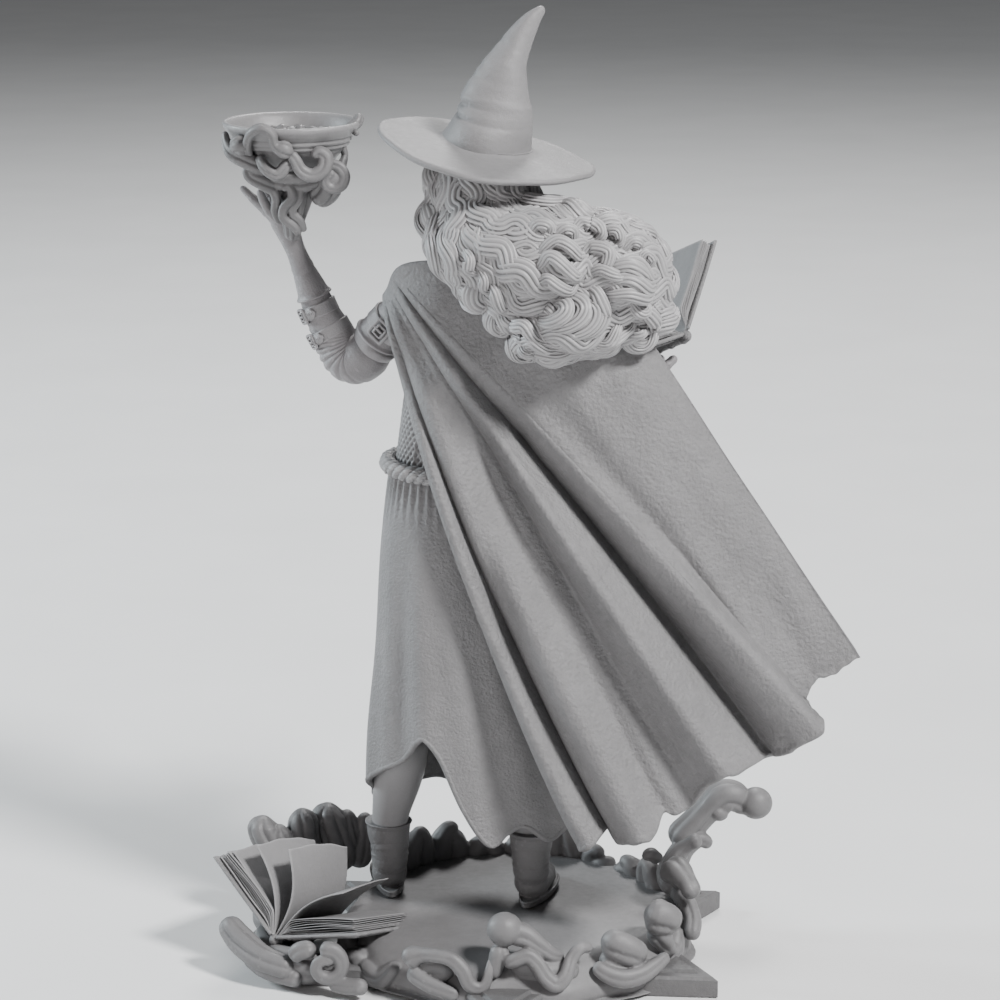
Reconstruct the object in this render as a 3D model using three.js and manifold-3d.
// A 1:24 display miniature of a witch in a long wind-blown cloak, cast as separate pieces.
// Millimetres. The origin is the middle of the plinth's underside, +Z is up,
// the witch faces +Y and their right hand is on the +X side.
import * as THREE from 'three';
import { mergeVertices } from 'three/addons/utils/BufferGeometryUtils.js';
import Module from 'manifold-3d';

const wasm = await Module();
wasm.setup();

// ---------------------------------------------------------------- driving dimensions

const GAP = 0.3;                // clear space between neighbouring pieces
const PLINTH_HEIGHT = 2.6;
const PLINTH_CHAMFER = 0.35;
const STAR_TIP_RADIUS = 25.4;
const STAR_DISC_RADIUS = 18;
const STAR_TURN = THREE.MathUtils.degToRad(-4.3);
const FLOOR_TOP = 5;            // what the boots stand on
const FLOOR_RADIUS = 19;
const PIN_RADIUS = 0.6;
const PIN_TOP = 8.5;

const WAIST = { x: -7.3, y: 0.2, z: 53.4 };
const HEAD = { x: -2.6, y: 1.3, z: 82.9 };
const HAT = { x: -3.1, y: 0.1, z: 87.2, brimRadius: 11.3, thickness: 0.6 };
const HAT_LEAN = { right: THREE.MathUtils.degToRad(11), back: THREE.MathUtils.degToRad(5) };
const BOWL = { x: -23.3, y: 4.5, rimZ: 89.5, radius: 7.15 };
const CLOAK_THICKNESS = 0.8;
const CLOAK_BILLOW = 1.6;
const CLOAK_DRAPE = 2;           // how far its left edge swings out round the body
const SKIRT_TOP = 53.2;
const SKIRT_WALL = 0.9;
const SKIRT_CEILING = 33;
const COVER_THICKNESS = 0.45;
const PAGES_THICKNESS = 1.15;
const LEAF_THICKNESS = 0.3;

// ---------------------------------------------------------------- finishes

const FINISHES = {
  cloth: { color: 0x9a9698, roughness: 0.72, metalness: 0 },
  skin: { color: 0xa39fa0, roughness: 0.6, metalness: 0 },
  hair: { color: 0xb2aeb0, roughness: 0.5, metalness: 0 },
  leather: { color: 0x959193, roughness: 0.6, metalness: 0 },
  buckle: { color: 0xa09c9e, roughness: 0.45, metalness: 0 },
  paper: { color: 0xa6a2a3, roughness: 0.7, metalness: 0 },
  bowl: { color: 0x9b9799, roughness: 0.5, metalness: 0 },
  smoke: { color: 0x878386, roughness: 0.58, metalness: 0 },
  plinth: { color: 0x757274, roughness: 0.65, metalness: 0 },
  pin: { color: 0xb59a4c, roughness: 0.35, metalness: 1 },
};

// ---------------------------------------------------------------- solids

const point = (x, y, z) => new THREE.Vector3(x, y, z);

/** A manifold solid from points and triangle corners, turned right side out if need be. */
function solidFrom(points, corners) {
  let volume = 0;
  for (let i = 0; i < corners.length; i += 3) {
    const [a, b, c] = [0, 1, 2].map((k) => points[corners[i + k]]);
    volume += a.dot(b.clone().cross(c));
  }
  const triVerts = Uint32Array.from(volume > 0 ? corners : corners.reverse());
  const vertProperties = Float32Array.from(points.flatMap((p) => p.toArray()));
  return new wasm.Manifold(new wasm.Mesh({ numProp: 3, vertProperties, triVerts }));
}

/** A manifold solid from one of three.js's closed geometries. */
function solidOf(geometry) {
  geometry.deleteAttribute('normal');
  geometry.deleteAttribute('uv');
  const merged = mergeVertices(geometry, 1e-4);
  const place = merged.getAttribute('position');
  const points = [...Array(place.count).keys()].map((i) => point().fromBufferAttribute(place, i));
  const index = Array.from(merged.index.array);
  const corners = [];
  for (let i = 0; i < index.length; i += 3) {
    const [a, b, c] = index.slice(i, i + 3);
    if (a !== b && b !== c && c !== a) corners.push(a, b, c);
  }
  return solidFrom(points, corners);
}

/** Rings of equally many points joined into one closed solid with a fan at each end. */
function ringSolid(rings) {
  const sides = rings[0].length;
  const middle = (ring) => ring.reduce((sum, p) => sum.add(p), point(0, 0, 0)).divideScalar(sides);
  const points = [...rings.flat(), middle(rings[0]), middle(rings.at(-1))];
  const foot = rings.length * sides;
  const lastRing = foot - sides;
  const corners = [];
  for (let s = 0; s < sides; s += 1) {
    const next = (s + 1) % sides;
    for (let r = 0; r < lastRing; r += sides) {
      corners.push(r + s, r + next, r + sides + next, r + s, r + sides + next, r + sides + s);
    }
    corners.push(foot, next, s, foot + 1, lastRing + s, lastRing + next);
  }
  return solidFrom(points, corners);
}

/** A limb through knots [x, y, z, radius], round in section, with rounded ends. */
function limb(knots, grow = 0, { sides = 8, steps = knots.length * 2 } = {}) {
  const path = new THREE.CatmullRomCurve3(knots.map(([x, y, z]) => point(x, y, z)));
  const frames = path.computeFrenetFrames(steps, false);
  const radiusAt = (t) => {
    const place = Math.min(t * (knots.length - 1), knots.length - 1 - 1e-9);
    const k = Math.floor(place);
    const blend = THREE.MathUtils.smoothstep(place - k, 0, 1);
    return THREE.MathUtils.lerp(knots[k][3], knots[k + 1][3], blend) + grow;
  };
  const ring = (step, shrink, shift) => {
    const t = step / steps;
    const centre = path.getPoint(t).addScaledVector(path.getTangent(t), shift * radiusAt(t));
    return [...Array(sides).keys()].map((s) => {
      const turn = (2 * Math.PI * s) / sides;
      const r = radiusAt(t) * shrink;
      return centre.clone()
        .addScaledVector(frames.normals[step], Math.cos(turn) * r)
        .addScaledVector(frames.binormals[step], Math.sin(turn) * r);
    });
  };
  const rings = [ring(0, 0.6, -0.8)];
  for (let step = 0; step <= steps; step += 1) rings.push(ring(step, 1, 0));
  rings.push(ring(steps, 0.6, 0.8));
  return ringSolid(rings);
}

/** Level ellipses [x, y, z, halfWidth, halfDepth] joined from first to last. */
function ellipses(levels, grow = 0, sides = 14) {
  const rings = levels.map(([x, y, z, halfWidth, halfDepth], level) => {
    const lift = level === 0 ? -grow : level === levels.length - 1 ? grow : 0;
    return [...Array(sides).keys()].map((s) => {
      const turn = (2 * Math.PI * s) / sides;
      return point(x + Math.cos(turn) * (halfWidth + grow), y + Math.sin(turn) * (halfDepth + grow),
        z + lift * Math.sign(levels.at(-1)[2] - levels[0][2]));
    });
  });
  return ringSolid(rings);
}

/** A curved sheet of even thickness: surface(u, v) is its middle, for u and v from 0 to 1. */
function sheet(surface, columns, rows, thickness, grow = 0) {
  const step = 1e-3;
  const outwards = (index, last) => (index === 0 ? -grow : index === last ? grow : 0);
  const faces = [1, -1].map((side) => {
    const face = [];
    for (let row = 0; row <= rows; row += 1) {
      for (let column = 0; column <= columns; column += 1) {
        const u = column / columns;
        const v = row / rows;
        const along = surface(u + step, v).sub(surface(u - step, v)).normalize();
        const down = surface(u, v + step).sub(surface(u, v - step)).normalize();
        const normal = along.clone().cross(down).normalize();
        face.push(surface(u, v)
          .addScaledVector(normal, side * (thickness / 2 + grow))
          .addScaledVector(along, outwards(column, columns))
          .addScaledVector(down, outwards(row, rows)));
      }
    }
    return face;
  });
  const width = columns + 1;
  const back = width * (rows + 1);
  const corners = [];
  const quad = (a, b, c, d) => corners.push(a, b, c, a, c, d);
  for (let row = 0; row < rows; row += 1) {
    for (let column = 0; column < columns; column += 1) {
      const a = row * width + column;
      quad(a, a + 1, a + 1 + width, a + width);
      quad(back + a, back + a + width, back + a + 1 + width, back + a + 1);
    }
  }
  for (let column = 0; column < columns; column += 1) {
    const low = rows * width + column;
    quad(column, back + column, back + column + 1, column + 1);
    quad(low, low + 1, back + low + 1, back + low);
  }
  for (let row = 0; row < rows; row += 1) {
    const left = row * width;
    const right = left + columns;
    quad(left, left + width, back + left + width, back + left);
    quad(right, back + right, back + right + width, right + width);
  }
  return solidFrom(faces.flat(), corners);
}

/** A turned shape about an upright axis at (x, y): profile points are [radius, z]. */
function turned(profile, x, y, sides = 24) {
  const outline = profile.map(([radius, z]) => new THREE.Vector2(radius, z));
  const geometry = new THREE.LatheGeometry(outline, sides);
  geometry.rotateX(Math.PI / 2);
  geometry.translate(x, y, 0);
  return solidOf(geometry);
}

/** A ball, or an egg when its three radii differ. */
function egg([x, y, z], radii, grow = 0) {
  const geometry = new THREE.SphereGeometry(1, 10, 7);
  geometry.scale(...radii.map((radius) => radius + grow));
  geometry.translate(x, y, z);
  return solidOf(geometry);
}

/** A slab with one corner at start and three edges along, across and up. */
function slab(start, along, across, up, grow = 0) {
  const geometry = new THREE.BoxGeometry(1, 1, 1);
  const edges = [along, across, up];
  const longer = edges.map((edge) => edge.clone().setLength(edge.length() + 2 * grow));
  const middle = edges.reduce((sum, edge) => sum.addScaledVector(edge, 0.5), start.clone());
  geometry.applyMatrix4(new THREE.Matrix4().makeBasis(...longer).setPosition(middle));
  return solidOf(geometry);
}

const joined = (solids) => solids.reduce((whole, solid) => whole.add(solid));

// ---------------------------------------------------------------- assembly

const figurine = new THREE.Group();
const placed = [];

/** Two solids' boxes come near each other. */
function near(a, b) {
  const [p, q] = [a.boundingBox(), b.boundingBox()];
  return [0, 1, 2].every((axis) => p.min[axis] <= q.max[axis] && q.min[axis] <= p.max[axis]);
}

/**
 * Adds one piece. shape(grow) gives its solid, grown all over by grow. What is placed first
 * keeps its full shape, and each later piece is cut clear of it by the gap.
 */
function add(group, name, finish, shape) {
  let body = shape(0);
  for (const other of placed) {
    if (near(body, other)) body = body.subtract(other);
  }
  const pieces = body.decompose().sort((a, b) => b.volume() - a.volume());
  placed.push(shape(GAP));
  const { vertProperties, triVerts } = pieces[0].getMesh();
  const geometry = new THREE.BufferGeometry();
  geometry.setAttribute('position', new THREE.BufferAttribute(Float32Array.from(vertProperties), 3));
  geometry.setIndex(Array.from(triVerts));
  geometry.computeBoundingBox();
  const middle = geometry.boundingBox.getCenter(point(0, 0, 0));
  geometry.translate(-middle.x, -middle.y, -middle.z);
  const mesh = new THREE.Mesh(geometry, new THREE.MeshStandardMaterial(FINISHES[finish]));
  mesh.name = name;
  mesh.position.copy(middle);
  group.add(mesh);
}

function subgroup() {
  const group = new THREE.Group();
  figurine.add(group);
  return group;
}

// ---------------------------------------------------------------- plinth and feet

const LEFT_FOOT = [-13.8, 3.4];
const RIGHT_FOOT = [1.6, 0.2];

function starPlinth(grow) {
  const outline = [];
  for (let corner = 0; corner < 6; corner += 1) {
    const tip = STAR_TURN + THREE.MathUtils.degToRad(30 + 60 * corner);
    const notch = tip + THREE.MathUtils.degToRad(30);
    const notchRadius = STAR_TIP_RADIUS / Math.sqrt(3);
    outline.push([STAR_TIP_RADIUS, tip], [notchRadius, notch]);
  }
  const star = new THREE.Shape(outline.map(([radius, turn]) => new THREE.Vector2(
    (radius + grow) * Math.cos(turn), (radius + grow) * Math.sin(turn))));
  const plate = new THREE.ExtrudeGeometry(star, { depth: PLINTH_HEIGHT + grow, bevelEnabled: false });
  const rim = STAR_DISC_RADIUS + grow;
  const disc = turned([[0, 0], [rim, 0], [rim, PLINTH_HEIGHT - PLINTH_CHAMFER + grow],
    [rim - PLINTH_CHAMFER, PLINTH_HEIGHT + grow], [0, PLINTH_HEIGHT + grow]], 0, 0, 32);
  return solidOf(plate).add(disc);
}

function footPin([x, y]) {
  return (grow) => turned([[0, 1 - grow], [PIN_RADIUS + grow, 1 - grow],
    [PIN_RADIUS + grow, PIN_TOP + grow], [0, PIN_TOP + grow]], x, y, 12);
}

/** A boot standing on the floor: a shaft to the cuff and a foot pointing to the toe. */
function boot([x, y], [cuffX, cuffY, cuffZ], [toeX, toeY]) {
  return (grow) => {
    const sole = FLOOR_TOP + 1.55;
    const shaft = limb([[x, y, sole + 0.6, 1.75], [x, y - 0.1, 8.6, 1.75],
      [cuffX, cuffY, cuffZ - 1.2, 2.15]], grow, { sides: 10, steps: 4 });
    const foot = limb([[x, y - 0.3, sole + 0.1, 1.7], [(x + toeX) / 2, (y + toeY) / 2, sole, 1.75],
      [toeX, toeY, sole - 0.25, 1.2]], grow, { steps: 4 });
    return shaft.add(foot);
  };
}

function buildBaseAndFeet() {
  const group = subgroup();
  add(group, 'left_foot_pin', 'pin', footPin(LEFT_FOOT));
  add(group, 'right_foot_pin', 'pin', footPin(RIGHT_FOOT));
  add(group, 'star_plinth', 'plinth', starPlinth);
}

// ---------------------------------------------------------------- books

/**
 * An open book. start is the near end of its spine, axis runs along the spine, and left and
 * right run across the two halves; each half's pages lie on the side that faces the reader.
 */
function bookFrame(start, axis, left, right) {
  const facing = (across) => {
    const normal = axis.clone().cross(across).normalize();
    return normal.dot(point(0, 0, 1)) + normal.dot(left.clone().add(right).normalize()) > 0
      ? normal : normal.negate();
  };
  return { start, axis, left, right, leftUp: facing(left), rightUp: facing(right) };
}

function bookPieces(group, prefix, book) {
  const { start, axis, left, right, leftUp, rightUp } = book;
  const spineWidth = 0.75;
  for (const [side, across, up] of [['left', left, leftUp], ['right', right, rightUp]]) {
    const unit = across.clone().normalize();
    const pagesStart = start.clone().addScaledVector(unit, spineWidth)
      .addScaledVector(up, COVER_THICKNESS + GAP).addScaledVector(axis, 0.03);
    const pagesAcross = across.clone().addScaledVector(unit, -spineWidth - 0.7);
    add(group, `${prefix}_pages_${side}`, 'paper', (grow) => slab(pagesStart,
      axis.clone().multiplyScalar(0.94), pagesAcross, up.clone().multiplyScalar(PAGES_THICKNESS), grow));
    const coverStart = start.clone().addScaledVector(unit, spineWidth);
    const coverAcross = across.clone().addScaledVector(unit, -spineWidth);
    add(group, `${prefix}_cover_${side}`, 'leather', (grow) => slab(coverStart, axis.clone(),
      coverAcross, up.clone().multiplyScalar(COVER_THICKNESS), grow));
  }
  const ends = [start, start.clone().add(axis)].map((end) => [...end.toArray(), 0.62]);
  add(group, `${prefix}_spine`, 'leather', (grow) => limb(ends, grow, { steps: 3 }));
}

/** A loose leaf rising from the spine and bowing over towards its free edge. */
function leaf(book, turn, bow, length) {
  const { start, axis, left, right } = book;
  const across = left.clone().normalize().lerp(right.clone().normalize(), turn).normalize();
  const normal = axis.clone().cross(across).normalize();
  const root = start.clone().addScaledVector(across, 1.9).addScaledVector(axis, 0.05);
  const surface = (u, v) => root.clone()
    .addScaledVector(axis, 0.9 * u)
    .addScaledVector(across, length * v)
    .addScaledVector(normal, bow * Math.sin(Math.PI * v));
  return (grow) => sheet(surface, 1, 6, LEAF_THICKNESS, grow);
}

const GROUND_BOOK = bookFrame(point(-25.9, -9.6, 4.6), point(5.6, 9.6, -2.9),
  point(-6.6, 5.8, 7.0), point(9.3, -4.6, 2.2));
const HELD_BOOK = bookFrame(point(18.2, 6.0, 66.6), point(-6.0, 9.6, -4.6),
  point(-8.6, -5.9, -1.6), point(3.3, 5.7, 9.0));

function buildGroundBook() {
  const group = subgroup();
  bookPieces(group, 'ground_book', GROUND_BOOK);
  const leaves = [[0.2, 0.5, 8.6], [0.34, 0.9, 8.2], [0.46, 1.1, 7.8], [0.66, -0.9, 8.0]];
  leaves.forEach(([turn, bow, length], i) => {
    add(group, `ground_book_leaf_${i + 1}`, 'paper', leaf(GROUND_BOOK, turn, bow, length));
  });
}

// ---------------------------------------------------------------- raised bowl and its smoke

function bowlShell(grow) {
  const { x, y, rimZ, radius } = BOWL;
  const outside = [[0, -5.9], [1.9, -5.7], [4.4, -4.1], [5.75, -2.9], [6.05, -1.5], [6.6, -1.0],
    [radius, -0.5], [radius, -0.1], [radius - 0.4, 0.25]];
  const inside = [[radius - 0.95, -0.1], [5.2, -1.3], [5.0, -2.6], [3.6, -3.9], [0, -4.9]];
  const grown = [...outside.map(([r, z]) => [r > 0 ? r + grow : 0, rimZ + z - grow]), [0, rimZ + grow]];
  if (grow > 0) return turned(grown, x, y);
  return turned([...outside, ...inside].map(([r, z]) => [r, rimZ + z]), x, y);
}

/** The thick brew in the bowl, with its surface a little below the rim. */
function brew(grow) {
  const { x, y, rimZ } = BOWL;
  return turned([[0, -4.5], [3.3, -3.6], [4.65, -2.5], [4.85, -1.5], [0, -1.3]]
    .map(([r, z]) => [r > 0 ? r + grow : 0, rimZ + z]), x, y);
}

/** Smoke that wells up from the palm and curls round the underside of the bowl. */
const BOWL_SMOKE = {
  bowl_smoke_stem: [
    [[-23.9, 3.6, 77.6, 0.6], [-23.0, 2.9, 79.6, 1.0], [-22.9, 3.4, 81.4, 1.5], [-23.0, 4.4, 82.6, 1.7]],
    [[-24.0, 3.0, 81.8, 0.9], [-26.8, 0.8, 84.0, 1.1], [-28.2, 0.9, 85.0, 1.2], [-29.6, 1.6, 86.6, 0.6]]],
  bowl_smoke_spiral_right: [
    [[-21.4, 3.6, 80.2, 1.0], [-20.0, 3.0, 81.0, 1.1], [-18.8, 2.8, 82.4, 1.2]],
    [[-18.6, 2.0, 82.9, 1.5], [-18.6, 2.8, 82.9, 1.5], [-18.6, 3.6, 82.9, 1.3]]],
  bowl_smoke_swirl: [
    [[-22.6, 0.2, 82.9, 0.7], [-21.0, -0.5, 84.0, 0.75], [-19.6, -0.3, 85.0, 0.75], [-18.7, 0.2, 86.4, 0.7]],
    [[-22.0, -0.6, 85.2, 0.6], [-20.6, -0.8, 86.4, 0.65], [-19.6, -0.6, 87.2, 0.5]]],
  bowl_smoke_loop: [
    [[-24.0, -0.2, 83.6, 0.7], [-24.2, -1.0, 85.6, 0.8], [-24.6, -1.8, 88.0, 0.65],
      [-26.4, -1.6, 88.2, 0.6], [-26.8, -1.0, 86.6, 0.6]]],
  bowl_smoke_right: [
    [[-18.2, 5.0, 84.2, 0.6], [-17.4, 4.6, 86.0, 0.7], [-16.4, 4.4, 87.8, 1.0]]],
};

/** Adds one smoke piece for each name, joined from its limbs. */
function addSmoke(group, pieces) {
  for (const [name, limbs] of Object.entries(pieces)) {
    add(group, name, 'smoke', (grow) => joined(limbs.map((knots) => limb(knots, grow,
      { steps: knots.length * 2 - 2, sides: 7 }))));
  }
}

function buildBowl() {
  const group = subgroup();
  add(group, 'brew', 'smoke', brew);
  add(group, 'bowl', 'bowl', bowlShell);
}

// ---------------------------------------------------------------- left arm

const LEFT_UPPER_ARM = [[-9.2, -0.6, 72.0, 2.5], [-12.6, 1.0, 69.2, 2.3], [-15.2, 2.4, 66.6, 2.4]];
const LEFT_FOREARM = [[-17.5, 3.7, 64.7, 2.45], [-19.6, 4.2, 67.6, 2.1], [-21.1, 4.5, 70.6, 1.6]];
const LEFT_HAND = [[-21.9, 4.6, 72.4, 1.3], [-23.0, 4.7, 75.4, 1.05], [-24.1, 4.7, 78.2, 1.25]];
const LEFT_FINGERS = [
  [[-24.6, 4.9, 78.2, 0.8], [-26.4, 5.6, 79.8, 0.6], [-28.0, 6.0, 81.2, 0.4]],
  [[-24.2, 3.6, 78.4, 0.7], [-25.6, 3.4, 80.0, 0.55], [-26.2, 3.4, 81.6, 0.4]],
  [[-23.8, 5.8, 78.6, 0.75], [-22.6, 6.8, 80.0, 0.6], [-22.2, 7.2, 81.6, 0.45]],
];

/** A strap round a limb, halfway between two of its knots or part of the way along. */
function strapAround(knots, at, width, height = 0.85) {
  const path = new THREE.CatmullRomCurve3(knots.map(([x, y, z]) => point(x, y, z)));
  const radius = THREE.MathUtils.lerp(knots[0][3], knots.at(-1)[3], at) + height;
  const [centre, way] = [path.getPoint(at), path.getTangent(at)];
  return (grow) => {
    const half = width / 2 + grow;
    const geometry = new THREE.CylinderGeometry(radius + grow, radius + grow, 2 * half, 12);
    geometry.applyQuaternion(new THREE.Quaternion().setFromUnitVectors(point(0, 1, 0), way));
    geometry.translate(centre.x, centre.y, centre.z);
    return solidOf(geometry);
  };
}

/** A square frame buckle of the given size lying against a limb, facing outwards. */
function buckle(centre, outward, size) {
  return (grow) => {
    const half = size / 2 + grow;
    const outline = new THREE.Shape([[-half, -half], [half, -half], [half, half], [-half, half]]
      .map(([x, y]) => new THREE.Vector2(x, y)));
    const inner = size / 2 - 0.4;
    const hole = [[-inner, -inner], [-inner, inner], [inner, inner], [inner, -inner]]
      .map(([x, y]) => new THREE.Vector2(x, y));
    if (grow === 0) outline.holes.push(new THREE.Path(hole));
    const geometry = new THREE.ExtrudeGeometry(outline, { depth: 0.5 + grow, bevelEnabled: false });
    geometry.applyQuaternion(new THREE.Quaternion().setFromUnitVectors(point(0, 0, 1), outward));
    geometry.translate(...centre);
    return solidOf(geometry);
  };
}

function buildLeftArm() {
  const group = subgroup();
  add(group, 'left_hand', 'leather', (grow) => joined([
    limb(LEFT_HAND, grow), ...LEFT_FINGERS.map((finger) => limb(finger, grow, { sides: 7, steps: 4 }))]));
  add(group, 'left_forearm', 'leather', (grow) => limb(LEFT_FOREARM, grow, { sides: 10 }));
  add(group, 'left_upper_arm', 'leather', (grow) => limb(LEFT_UPPER_ARM, grow, { sides: 10 }));
  const straps = [
    ['forearm_strap_upper', LEFT_FOREARM, 0.92, 1.3, [-22.8, 2.6, 70.3], point(-0.72, -0.66, -0.2), 1.3],
    ['forearm_strap_lower', LEFT_FOREARM, 0.5, 1.2, [-21.7, 2.5, 67.2], point(-0.7, -0.68, -0.2), 1.3],
    ['upper_arm_strap', LEFT_UPPER_ARM, 0.62, 1.4, [-14.1, -1.7, 68.8], point(0.1, -0.98, 0.1), 1.6],
  ];
  for (const [name, knots, at, width, centre, outward, size] of straps) {
    const band = strapAround(knots, at, width);
    const frame = buckle(centre, outward.normalize(), size);
    add(group, name, 'leather', (grow) => band(grow).add(frame(grow)));
  }
}

// ---------------------------------------------------------------- body, legs and right arm

const LEFT_LEG = [[-13.9, 3.3, 13.4, 1.7], [-13.1, 2.2, 17.4, 2.4], [-12.4, 1.2, 21.5, 2.8],
  [-11.5, 1.2, 27.0, 2.7], [-9.9, 1.2, 35.0, 3.4]];
const RIGHT_LEG = [[1.6, 0.4, 13.4, 1.7], [1.0, 0.9, 17.4, 2.3], [0.4, 1.4, 21.5, 2.7],
  [-0.8, 2.0, 27.0, 2.7], [-3.0, 1.6, 35.0, 3.3]];
const RIGHT_UPPER_ARM = [[5.4, -0.7, 71.4, 2.4], [9.2, -0.9, 66.4, 2.3], [12.2, -0.6, 61.6, 2.2]];
const RIGHT_FOREARM = [[12.9, 0.4, 60.0, 2.1], [14.0, 3.4, 60.4, 1.8], [14.6, 5.6, 61.0, 1.4]];
const RIGHT_HAND = [[14.7, 6.9, 61.6, 1.1], [14.4, 8.6, 62.2, 1.3], [13.8, 10.6, 61.4, 1.0]];

function bodice(grow) {
  return ellipses([
    [WAIST.x, WAIST.y, WAIST.z + 0.8, 5.3, 4.1], [-6.6, 0.3, 57.5, 5.4, 4.2],
    [-5.2, 0.6, 62, 6.1, 4.5], [-3.9, 0.7, 66.5, 6.9, 4.8], [-2.9, 0.1, 70.5, 7.4, 3.9],
    [-2.5, -0.4, 73, 6.0, 3.2], [-2.4, -0.6, 75, 3.0, 2.5]], grow);
}

/** The twisted rope belt, a ring a little tilted to the left. */
function ropeBelt(grow) {
  const cord = 1.0 + grow;
  const round = [...Array(7).keys()].map((k) => {
    const turn = (2 * Math.PI * k) / 6;
    return new THREE.Vector2(6.1 + cord * Math.cos(turn), cord * Math.sin(turn));
  });
  const geometry = new THREE.LatheGeometry(round, 20);
  geometry.rotateX(Math.PI / 2);
  geometry.scale(1, 0.8, 1);
  geometry.rotateY(THREE.MathUtils.degToRad(3));
  geometry.translate(WAIST.x, WAIST.y, WAIST.z);
  return solidOf(geometry);
}

/** Heights of the skirt's ragged hem, from the left side round the back and the front. */
const HEM = [[0, 18.3], [30, 21.4], [58, 25.2], [68, 25.0], [96, 14.2], [112, 15.8], [132, 14.0],
  [160, 16.0], [190, 13.6], [225, 16.2], [260, 13.8], [295, 17.0], [330, 15.6], [360, 18.3]];
const SKIRT_LEVELS = [[SKIRT_TOP, -7.4, 0.2, 5.9, 4.8], [48, -7.2, 0.3, 6.9, 5.8], [43, -6.9, 0.5, 7.7, 6.5],
  [34, -6.3, 0.8, 8.9, 7.2], [24, -5.0, 1.2, 11.2, 8.0], [12, -3.9, 1.5, 12.6, 8.6]];

function skirtSection(height) {
  const clamped = THREE.MathUtils.clamp(height, 12.001, SKIRT_TOP - 0.001);
  const below = SKIRT_LEVELS.findIndex(([z]) => z <= clamped);
  const [upper, lower] = [SKIRT_LEVELS[below - 1], SKIRT_LEVELS[below]];
  const blend = (upper[0] - clamped) / (upper[0] - lower[0]);
  return upper.map((value, i) => THREE.MathUtils.lerp(value, lower[i], blend));
}

function hemHeight(degrees) {
  const after = HEM.findIndex(([turn]) => turn > degrees);
  const [[t0, z0], [t1, z1]] = [HEM[after - 1], HEM[after]];
  return THREE.MathUtils.lerp(z0, z1, THREE.MathUtils.smoothstep(degrees, t0, t1));
}

function skirtSolid(inset, ceiling, floorOf) {
  const sides = 28;
  const levels = 5;
  const rings = [...Array(levels + 1).keys()].map((level) => [...Array(sides).keys()].map((s) => {
    const degrees = (360 * s) / sides;
    const z = THREE.MathUtils.lerp(ceiling, floorOf(degrees), level / levels);
    const [, x, y, halfWidth, halfDepth] = skirtSection(z);
    const turn = THREE.MathUtils.degToRad(180 + degrees);
    return point(x + Math.cos(turn) * (halfWidth - inset), y + Math.sin(turn) * (halfDepth - inset), z);
  }));
  return ringSolid(rings);
}

function skirt(grow) {
  const outside = skirtSolid(-grow, SKIRT_TOP + grow, (degrees) => hemHeight(degrees) - grow);
  const hollow = skirtSolid(SKIRT_WALL + grow, SKIRT_CEILING - grow, () => 10);
  return outside.subtract(hollow);
}

function buildBody() {
  const group = subgroup();
  add(group, 'left_boot', 'leather', boot(LEFT_FOOT, [-13.9, 3.4, 13.2], [-14.8, 10.4]));
  add(group, 'right_boot', 'leather', boot(RIGHT_FOOT, [1.6, 0.4, 13.2], [3.4, 7.0]));
  add(group, 'left_leg', 'skin', (grow) => limb(LEFT_LEG, grow, { sides: 8, steps: 6 }));
  add(group, 'right_leg', 'skin', (grow) => limb(RIGHT_LEG, grow, { sides: 8, steps: 6 }));
  add(group, 'rope_belt', 'leather', ropeBelt);
  add(group, 'bodice', 'cloth', bodice);
  add(group, 'skirt', 'cloth', skirt);
  add(group, 'right_hand', 'skin', (grow) => limb(RIGHT_HAND, grow));
  add(group, 'right_forearm', 'leather', (grow) => limb(RIGHT_FOREARM, grow));
  add(group, 'right_upper_arm', 'leather', (grow) => limb(RIGHT_UPPER_ARM, grow));
}

// ---------------------------------------------------------------- head, hat and hair

function leanWithHat(geometry) {
  geometry.rotateX(HAT_LEAN.back);
  geometry.rotateY(HAT_LEAN.right);
  geometry.translate(HAT.x, HAT.y, HAT.z);
  return solidOf(geometry);
}

function hatBrim(grow) {
  const rim = HAT.brimRadius + grow;
  const half = HAT.thickness / 2 + grow;
  const droop = -0.35;
  const outline = [[0, -half], [4.5, -half], [rim, droop - half], [rim, droop + half],
    [4.5, half], [0, half]].map(([radius, z]) => new THREE.Vector2(radius, z));
  const geometry = new THREE.LatheGeometry(outline, 28);
  geometry.rotateX(Math.PI / 2);
  return leanWithHat(geometry);
}

const HAT_CROWN = [[-3.0, 0.1, 86.8, 4.6], [-2.6, 0.0, 89.6, 4.1], [-2.1, -0.1, 92.4, 3.45],
  [-1.35, -0.2, 94.9, 2.5], [-0.8, -0.2, 96.4, 1.95], [0.2, -0.1, 98.4, 1.4], [1.3, 0.0, 100.1, 0.9],
  [2.6, 0.1, 101.2, 0.5]];

const HAIR_LUMPS = [[[-3.4, -1.8, 82.2], [6.1, 6.2, 5.2]], [[-2.4, -4.6, 78.2], [6.9, 6.6, 5.8]],
  [[2.2, -6.6, 76.6], [7.2, 6.8, 6.6]], [[8.6, -6.0, 75.4], [6.6, 6.2, 6.6]],
  [[4.8, -7.4, 71.4], [6.6, 5.2, 4.6]], [[11.2, -5.2, 73.2], [4.3, 4.8, 5.0]]];

function buildHead() {
  const group = subgroup();
  add(group, 'head', 'skin', (grow) => egg([HEAD.x, HEAD.y, HEAD.z], [3.9, 4.7, 5.6], grow));
  add(group, 'neck', 'skin', (grow) => limb([[-2.6, 0.4, 78.4, 1.9], [-2.4, -0.5, 75.0, 2.1]], grow));
  add(group, 'hat_brim', 'cloth', hatBrim);
  add(group, 'hat_crown', 'cloth', (grow) => limb(HAT_CROWN, grow, { sides: 12, steps: 10 }));
}

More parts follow.
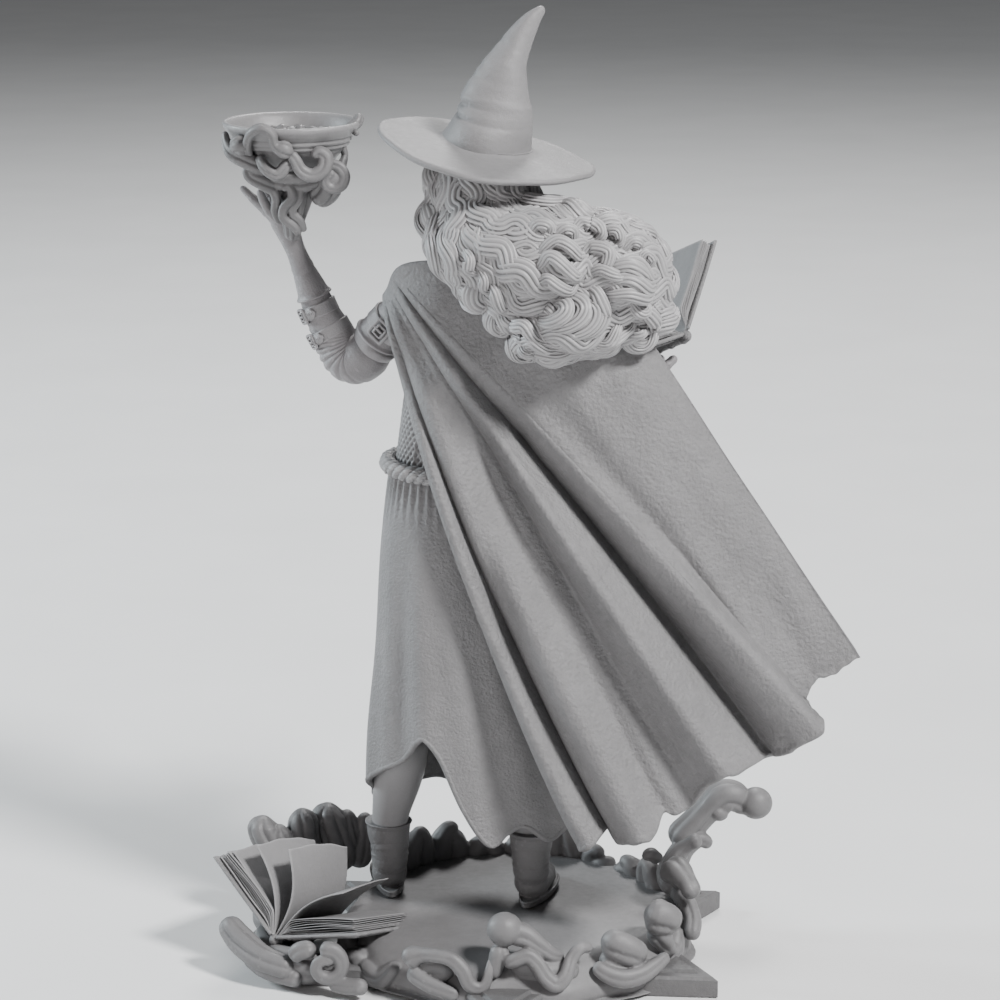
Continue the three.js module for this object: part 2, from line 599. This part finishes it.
function buildHair() {
  const group = subgroup();
  add(group, 'hair', 'hair', (grow) => joined(HAIR_LUMPS.map(([at, radii]) => egg(at, radii, grow))));
}

// ---------------------------------------------------------------- cloak

const CLOAK_TOP = new THREE.CatmullRomCurve3([[-13.6, 0.6, 72.0], [-11.6, -2.6, 75.7],
  [-4.6, -5.4, 76.4], [3.0, -5.6, 75.0], [9.6, -4.8, 71.4], [13.9, -4.0, 67.2]]
  .map((p) => point(...p)));
const CLOAK_HEM = new THREE.CatmullRomCurve3([[6.6, -10.4, 14.8], [11.6, -11.6, 16.2],
  [17.6, -11.8, 19.6], [23.2, -11.2, 23.4], [28.0, -10.2, 25.4], [31.8, -8.8, 28.4],
  [35.8, -6.6, 35.0]].map((p) => point(...p)));
/** Folds as [place along the hem, half width, depth]; a negative depth is a valley. */
const CLOAK_FOLDS = [[0.03, 0.04, 1.0], [0.11, 0.04, -1.5], [0.27, 0.08, 1.2], [0.44, 0.06, -0.6],
  [0.55, 0.06, 1.1], [0.73, 0.05, -1.9], [0.87, 0.05, 1.3]];
/** The columns up to this one fan out from the left shoulder; the rest hang from the back. */
const CLOAK_FAN = { columns: 0.62, top: 0.14, hem: 0.87 };

function cloakSurface(u, v) {
  const column = THREE.MathUtils.clamp(u, 0, 1);
  const fan = Math.min(column / CLOAK_FAN.columns, 1);
  const back = Math.max((column - CLOAK_FAN.columns) / (1 - CLOAK_FAN.columns), 0);
  const across = THREE.MathUtils.lerp(CLOAK_FAN.hem * fan, 1, back);
  const top = CLOAK_TOP.getPoint(THREE.MathUtils.lerp(CLOAK_FAN.top * fan, 1, back));
  const place = top.lerp(CLOAK_HEM.getPoint(across), v);
  place.y -= CLOAK_BILLOW * Math.sin(Math.PI * v) * Math.sin(Math.PI * (0.15 + 0.7 * across));
  const drape = CLOAK_DRAPE * Math.max(0, Math.sin(Math.PI * v)) ** 0.6
    * (1 - THREE.MathUtils.smoothstep(column, 0, 0.34));
  place.x -= drape;
  place.y -= drape;
  const fall = THREE.MathUtils.smoothstep(v, 0, 0.7);
  for (const [at, half, depth] of CLOAK_FOLDS) {
    place.y -= depth * fall * Math.exp(-(((across - at) / half) ** 2));
  }
  return place;
}

function buildCloak() {
  const group = subgroup();
  add(group, 'cloak', 'cloth', (grow) => sheet(cloakSurface, 26, 6, CLOAK_THICKNESS, grow));
  add(group, 'cloak_clasp', 'buckle', (grow) => egg([-2.6, 4.6, 72.4], [1.3, 0.7, 1.3], grow));
}

// ---------------------------------------------------------------- smoke on the plinth

/** The swirling smoke's curls and knobs, from the left round the front to the back. */
const BASE_SMOKE = {
  smoke_bank_left: [
    [[-25.6, 7.0, 2.2, 1.9], [-25.2, 1.4, 1.7, 1.5], [-27.6, -4.4, 2.1, 1.9], [-25.4, -9.4, 2.2, 2.0],
      [-20.4, -12.2, 2.2, 1.9]]],
  smoke_knob_left: [
    [[-30.6, -6.8, 5.9, 1.3], [-28.9, -8.6, 4.4, 1.6], [-26.4, -10.8, 3.2, 1.6], [-22.6, -12.8, 2.6, 1.5]]],
  smoke_spiral_front_left: [
    [[-21.6, -12.6, 4.8, 1.1], [-19.6, -13.6, 5.0, 1.2], [-18.6, -14.0, 3.4, 1.2], [-19.8, -14.2, 2.0, 1.1],
      [-16.4, -14.6, 1.6, 1.3]]],
  smoke_ribbon_front: [
    [[-11.7, -13.8, 5.2, 1.3], [-8.9, -15.0, 5.0, 0.9], [-6.4, -16.6, 4.4, 0.9], [-5.0, -17.2, 2.8, 0.9],
      [-3.4, -17.2, 1.8, 0.9]]],
  smoke_ball_front: [
    [[-1.2, -14.8, 8.3, 2.0], [0.6, -15.0, 6.8, 1.5], [3.0, -15.0, 5.8, 1.0]],
    [[0.0, -16.4, 5.6, 0.8], [1.8, -17.2, 4.0, 0.8], [4.2, -17.2, 2.6, 0.9], [5.4, -16.2, 4.2, 0.8],
      [6.0, -15.2, 5.8, 0.8]]],
  smoke_block_front_right: [
    [[8.8, -13.4, 5.8, 1.2], [11.4, -13.4, 5.4, 1.8], [14.6, -13.0, 3.8, 1.4], [16.6, -12.6, 3.0, 0.8]]],
  smoke_knob_front_right: [
    [[13.4, -9.6, 7.2, 1.4], [15.4, -9.2, 7.0, 1.9], [16.6, -8.6, 5.4, 1.4], [15.4, -9.0, 3.8, 1.2]]],
  smoke_bulbs_right: [
    [[18.6, -5.0, 7.8, 1.4], [17.4, -2.2, 9.4, 1.5], [16.8, 0.8, 8.2, 1.6]],
    [[20.0, 3.0, 11.2, 1.2], [18.6, 3.6, 10.2, 1.1], [17.0, 3.6, 8.4, 1.4], [16.6, 1.6, 7.4, 1.4]]],
  smoke_arm_right: [
    [[27.2, 8.8, 13.6, 1.35], [25.2, 9.2, 13.0, 1.1], [23.0, 9.0, 14.0, 1.6], [20.2, 8.4, 11.8, 1.4],
      [17.2, 7.8, 9.0, 1.8]]],
  smoke_lobe_left: [
    [[-27.9, 8.0, 12.2, 1.4], [-27.4, 7.6, 9.4, 1.9], [-25.8, 6.6, 6.0, 1.9], [-23.0, 5.0, 3.6, 1.7]],
    [[-23.8, 9.2, 12.4, 1.5], [-23.6, 8.8, 9.0, 1.9], [-22.4, 7.8, 5.4, 1.9], [-23.0, 5.0, 3.6, 1.7]]],
  smoke_lobe_back_left: [
    [[-20.8, 11.0, 12.2, 1.7], [-20.4, 10.6, 8.6, 2.2], [-19.2, 9.4, 5.0, 2.2]],
    [[-16.8, 12.0, 10.9, 0.9], [-16.8, 11.6, 8.4, 1.3], [-18.0, 10.2, 5.2, 2.0]]],
};

/** The back wall of smoke, an upright curling band that follows the edge of the floor. */
function smokeWall(grow) {
  const surface = (u, v) => {
    const turn = THREE.MathUtils.degToRad(146 - 128 * u);
    const radius = 16.6 - 1.4 * v + 0.7 * Math.sin(9 * u + 3 * v);
    const height = 6.4 + 1.6 * Math.sin(14 * u) - 2.4 * u;
    return point(radius * Math.cos(turn), radius * Math.sin(turn), PLINTH_HEIGHT + GAP + height * (1 - v));
  };
  return sheet(surface, 14, 2, 1.6, grow);
}

/** The smoke floor that the witch stands on: it wraps the plinth's rim, thickest at the front. */
function smokeFloor(grow) {
  const low = 0.3 - grow;
  const edge = FLOOR_RADIUS + grow;
  const cap = turned([[0, low], [edge - 0.5, low], [edge, 1.6], [edge - 0.3, FLOOR_TOP - 1],
    [edge - 1.4, FLOOR_TOP - 0.2 + grow], [edge - 3, FLOOR_TOP + grow], [0, FLOOR_TOP + grow]], 0, 0, 28);
  const knots = 7;
  const roll = [...Array(knots).keys()].map((k) => {
    const turn = THREE.MathUtils.degToRad(214 + (96 * k) / (knots - 1));
    return [18.3 * Math.cos(turn), 18.3 * Math.sin(turn), 3.0, 1.7 + 0.35 * Math.sin(2.5 * k)];
  });
  return cap.add(limb(roll, grow, { sides: 7 }));
}

function buildBaseSmoke() {
  const group = subgroup();
  add(group, 'smoke_floor', 'smoke', smokeFloor);
  add(group, 'smoke_wall_back', 'smoke', smokeWall);
  addSmoke(group, BASE_SMOKE);
}

// ---------------------------------------------------------------- build, most exact piece first

buildBaseAndFeet();
buildGroundBook();
bookPieces(subgroup(), 'held_book', HELD_BOOK);
buildBowl();
buildHead();
buildBody();
buildCloak();
buildLeftArm();
buildHair();
addSmoke(subgroup(), BOWL_SMOKE);
buildBaseSmoke();

export default figurine;
